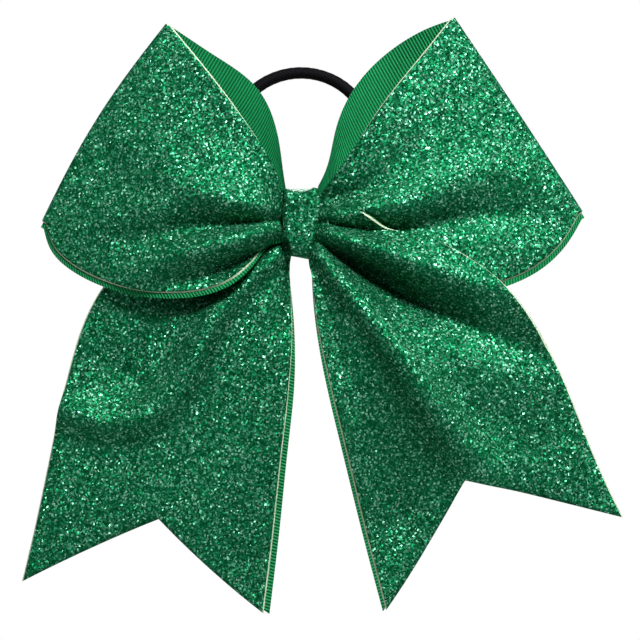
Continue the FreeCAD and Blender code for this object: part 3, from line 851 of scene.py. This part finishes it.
wrap_ribbon = wrap_piece("wrap_ribbon_cloth", 0.0, RIBBON_THICKNESS, WRAP_EDGE_STEP, 0.0,
                         [GROSGRAIN], (0, 0, 0))
wrap_glitter = wrap_piece("wrap_glitter_cloth", RIBBON_THICKNESS + BOND, LAYER, 0.0, WRAP_EDGE_STEP,
                          [GLITTER, BACKING], (0, 0, 1))
for piece, node in ((wrap_ribbon, "wrap_ribbon"), (wrap_glitter, "wrap_glitter")):
    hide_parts(node)
    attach(piece, "knot")


# ---- elastic -------------------------------------------------------------------------------------
ELASTIC_RADIUS = 1.9
ELASTIC_LOOP = 22.3          # radius of the round top
ELASTIC_BEND = 8.0           # radius of the bends beside the straight stretch
ELASTIC_STRAIGHT = 7.0       # half the straight stretch under the wrap
ELASTIC_REACH = 51.0
ELASTIC_LEAN = math.radians(12.0)
ELASTIC_Y = -4.2             # place of the straight stretch, about which the elastic swings
ELASTIC_Z = -1.2
ELASTIC_ROWS = 360

BRAID_RADIUS = 1.84
BRAID_RELIEF = 0.05
BRAID_STRANDS = 8            # threads of each of the two families
BRAID_LAY = 2.6              # length of a repeat along the elastic
BRAID_SIDES = 40


def elastic_line():
    """The elastic's centre line in its own plane, then tilted back: (X, Y, Z) in millimetres."""
    big = ELASTIC_LOOP
    bend = ELASTIC_BEND
    straight = ELASTIC_STRAIGHT
    centre_z = ELASTIC_REACH - big
    gap = math.hypot(straight, centre_z - bend)
    turn = math.degrees(math.asin((big - bend) / gap) - math.atan2(straight, centre_z - bend))
    points = [(-straight, 0.0)]
    points += arc_points((straight, bend), bend, -90, -turn, 14)
    points += arc_points((0.0, centre_z), big, -turn, 180 + turn, 200)
    points += arc_points((-straight, bend), bend, 180 + turn, 270, 14)
    points = np.array(points)
    lengths = np.concatenate([[0.0], np.cumsum(np.linalg.norm(np.diff(points, axis=0), axis=1))])
    wanted = np.linspace(0.0, lengths[-1], ELASTIC_ROWS, endpoint=False)
    x = np.interp(wanted, lengths, points[:, 0])
    up = np.interp(wanted, lengths, points[:, 1])
    y = ELASTIC_Y + up * math.sin(ELASTIC_LEAN)
    z = ELASTIC_Z + up * math.cos(ELASTIC_LEAN)
    return np.stack([x, y, z], axis=1), wanted


def elastic_piece():
    """Knitted tube: two families of raised threads cross on its surface."""
    line, distance = elastic_line()
    sides = BRAID_SIDES
    tangent = np.roll(line, -1, axis=0) - np.roll(line, 1, axis=0)
    tangent /= np.linalg.norm(tangent, axis=1, keepdims=True)
    plane = np.array([0.0, -math.cos(ELASTIC_LEAN), math.sin(ELASTIC_LEAN)])
    inward = np.cross(tangent, plane)
    count = len(line)
    angle = np.linspace(0.0, 2.0 * math.pi, sides, endpoint=False)
    total = distance[-1] + distance[1]
    turns = round(total / BRAID_LAY)
    lay = 2.0 * math.pi * turns * distance / total
    radius = np.zeros((count, sides))
    for j, a in enumerate(angle):
        first = np.cos(BRAID_STRANDS * a + lay)
        second = np.cos(BRAID_STRANDS * a - lay)
        radius[:, j] = BRAID_RADIUS + BRAID_RELIEF * np.maximum(first, second)
    ring = inward[:, None, :] * np.cos(angle)[None, :, None] + plane * np.sin(angle)[None, :, None]
    verts = (line[:, None, :] + ring * radius[..., None]).reshape(-1, 3) * MM
    faces = []
    for i in range(count):
        for j in range(sides):
            after = (i + 1) % count
            beside = (j + 1) % sides
            faces.append((i * sides + j, i * sides + beside, after * sides + beside, after * sides + j))
    mesh = bpy.data.meshes.new("elastic_braid")
    mesh.from_pydata(verts.tolist(), [], faces)
    mesh.materials.append(ELASTIC)
    mesh.polygons.foreach_set("use_smooth", [True] * len(faces))
    cloth = np.stack([np.tile(angle * ELASTIC_RADIUS, count), np.repeat(distance, sides),
                      np.zeros(count * sides)], axis=1) * MM
    data = mesh.attributes.new("cloth", "FLOAT_VECTOR", "POINT")
    data.data.foreach_set("vector", cloth.astype(np.float32).ravel())
    fix_normals(mesh)
    made = bpy.data.objects.new("elastic_braid", mesh)
    bpy.context.collection.objects.link(made)
    return made


elastic = elastic_piece()
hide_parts("elastic_cover")
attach(elastic, "hair_elastic")


# ---- CAD nodes that stay -------------------------------------------------------------------------
node_materials = {"pinch_thread": THREAD, "glue_dab": GLUE, "elastic_core": RUBBER}
for node, material in node_materials.items():
    mesh_object = bpy.data.objects[node]
    for place in mesh_object.material_slots:
        place.material = material


# ---- stage, light and camera ---------------------------------------------------------------------
FLOOR_HALF = 4.0
FLOOR_Z = -0.9
WORLD_LIGHT = 0.04           # strength of the surroundings as a light
CAMERA_DISTANCE = 0.70       # from the view plane
VIEW_PLANE = -0.011          # its Y, inside the knot
SEEN_WIDTH = 0.2013          # width of the view at that plane
CAMERA_ASIDE = -0.0007       # the camera's place from the middle of the CAD box, in X and Z
CAMERA_UP = -0.0016
SENSOR = 36.0
BOW_MIDDLE = (0.0, 0.0, -0.03)


def floor():
    """Plain pale floor far below the hanging bow. Its own glow shows only to the camera."""
    mesh = bpy.data.meshes.new("floor")
    corners = [(x * FLOOR_HALF, y * FLOOR_HALF, FLOOR_Z) for x, y in ((-1, -1), (1, -1), (1, 1), (-1, 1))]
    mesh.from_pydata(corners, [], [(0, 1, 2, 3)])
    material, nodes, links, shader = new_material("pale_floor")
    shader.inputs["Base Color"].default_value = (0.9, 0.9, 0.9, 1.0)
    shader.inputs["Roughness"].default_value = 0.9
    shader.inputs["Emission Color"].default_value = (0.93, 0.93, 0.93, 1.0)
    rays = nodes.new("ShaderNodeLightPath")
    links.new(rays.outputs["Is Camera Ray"], shader.inputs["Emission Strength"])
    mesh.materials.append(material)
    made = bpy.data.objects.new("floor", mesh)
    bpy.context.collection.objects.link(made)


def area_light(name, place, size, power):
    light = bpy.data.lights.new(name, "AREA")
    light.shape = "RECTANGLE"
    light.size, light.size_y = size
    light.energy = power
    made = bpy.data.objects.new(name, light)
    made.location = place
    made.rotation_euler = (Vector(BOW_MIDDLE) - Vector(place)).to_track_quat("-Z", "Y").to_euler()
    bpy.context.collection.objects.link(made)


def world():
    """White surroundings: bright where the camera sees them, and a weak light."""
    made = bpy.data.worlds.new("studio")
    bpy.context.scene.world = made
    made.use_nodes = True
    nodes = made.node_tree.nodes
    links = made.node_tree.links
    background = nodes["Background"]
    background.inputs["Color"].default_value = (1.0, 1.0, 1.0, 1.0)
    rays = nodes.new("ShaderNodeLightPath")
    strength = add(nodes, "ShaderNodeMix", data_type="FLOAT")
    strength.inputs["A"].default_value = WORLD_LIGHT
    strength.inputs["B"].default_value = 1.0
    links.new(rays.outputs["Is Camera Ray"], strength.inputs["Factor"])
    links.new(strength.outputs["Result"], background.inputs["Strength"])


def camera():
    """Long lens straight at the front of the bow."""
    low, high = (Vector(corner) for corner in cad_bounds)
    middle = (low + high) / 2.0
    lens = bpy.data.cameras.new("camera")
    lens.sensor_width = SENSOR
    lens.lens = SENSOR * CAMERA_DISTANCE / SEEN_WIDTH
    made = bpy.data.objects.new("camera", lens)
    made.location = (middle.x + CAMERA_ASIDE, VIEW_PLANE - CAMERA_DISTANCE, middle.z + CAMERA_UP)
    made.rotation_euler = (math.radians(90.0), 0.0, 0.0)
    bpy.context.collection.objects.link(made)
    bpy.context.scene.camera = made


floor()
world()
camera()
area_light("key", (0.3, -0.75, 0.85), (0.35, 0.25), 23.0)
area_light("back", (0.1, 0.95, 0.25), (0.6, 0.6), 10.0)
area_light("left", (-1.1, -0.1, 0.3), (0.5, 0.5), 3.0)
area_light("right", (1.1, -0.1, 0.3), (0.5, 0.5), 3.0)
bpy.context.scene.view_settings.view_transform = "Standard"
